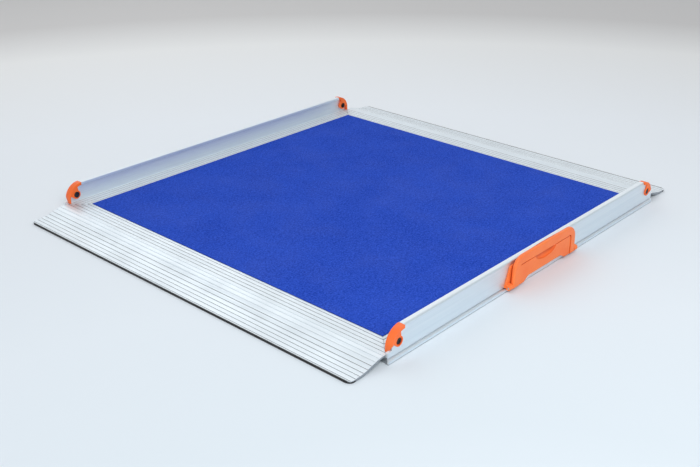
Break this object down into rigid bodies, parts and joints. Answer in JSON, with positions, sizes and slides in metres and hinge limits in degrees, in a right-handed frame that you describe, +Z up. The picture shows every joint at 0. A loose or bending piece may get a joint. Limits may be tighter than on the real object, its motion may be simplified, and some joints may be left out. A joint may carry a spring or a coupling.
{
  "type": "wheelchair ramp",
  "caption": "Portable wheelchair ramp: a flat grip-surfaced deck in a low-kerbed frame with a sloping lip at each end and a folding carrying handle.",
  "frame": {"origin": "middle of the underside, on the ground the ramp lies on", "axes": "+X along the way up the ramp, +Y to its left side, +Z up"},
  "size_m": [0.942, 0.8135, 0.0591],
  "materials": {
    "frame_aluminium": "satin silver anodised",
    "deck_skin": "satin",
    "deck_core": "unfinished light core",
    "grip_surface": "matte fine grit",
    "corner_key": "mill finish",
    "steel_fastener": "zinc plated",
    "lip_rubber": "matte black",
    "orange_plastic": "fine satin",
    "black_fastener": "black oxide"
  },
  "bodies": {
    "ramp": {"side_rail_left": "frame_aluminium", "side_rail_right": "frame_aluminium", "lip_front": "frame_aluminium", "lip_rear": "frame_aluminium", "deck_skin_top": "deck_skin", "deck_skin_bottom": "deck_skin", "deck_core": "deck_core", "grip_sheet": "grip_surface", "corner_key_front_left": "corner_key", "corner_key_front_right": "corner_key", "corner_key_rear_left": "corner_key", "corner_key_rear_right": "corner_key", "corner_screw_front_left_rail": "steel_fastener", "corner_screw_front_left_lip": "steel_fastener", "corner_screw_front_right_rail": "steel_fastener", "corner_screw_front_right_lip": "steel_fastener", "corner_screw_rear_left_rail": "steel_fastener", "corner_screw_rear_left_lip": "steel_fastener", "corner_screw_rear_right_rail": "steel_fastener", "corner_screw_rear_right_lip": "steel_fastener", "handle_screw_1": "steel_fastener", "handle_screw_2": "steel_fastener", "handle_screw_3": "steel_fastener", "handle_screw_4": "steel_fastener", "handle_pin_front": "steel_fastener", "handle_pin_rear": "steel_fastener", "lip_rubber_front": "lip_rubber", "lip_rubber_rear": "lip_rubber", "end_cap_front_left": "orange_plastic", "end_cap_front_right": "orange_plastic", "end_cap_rear_left": "orange_plastic", "end_cap_rear_right": "orange_plastic", "handle_base": "orange_plastic", "cap_bolt_front_left": "black_fastener", "cap_bolt_front_right": "black_fastener", "cap_bolt_rear_left": "black_fastener", "cap_bolt_rear_right": "black_fastener", "cap_nut_front_left": "black_fastener", "cap_nut_front_right": "black_fastener", "cap_nut_rear_left": "black_fastener", "cap_nut_rear_right": "black_fastener"},
    "carry_handle": {"handle_bail": "orange_plastic"}
  },
  "joints": [
    {"name": "handle_fold", "type": "hinge", "parent": "ramp", "child": "carry_handle", "pos_m": [0, -0.4072, 0.0088], "axis": [1, 0, 0], "range_deg": [0, 90]}
  ]
}
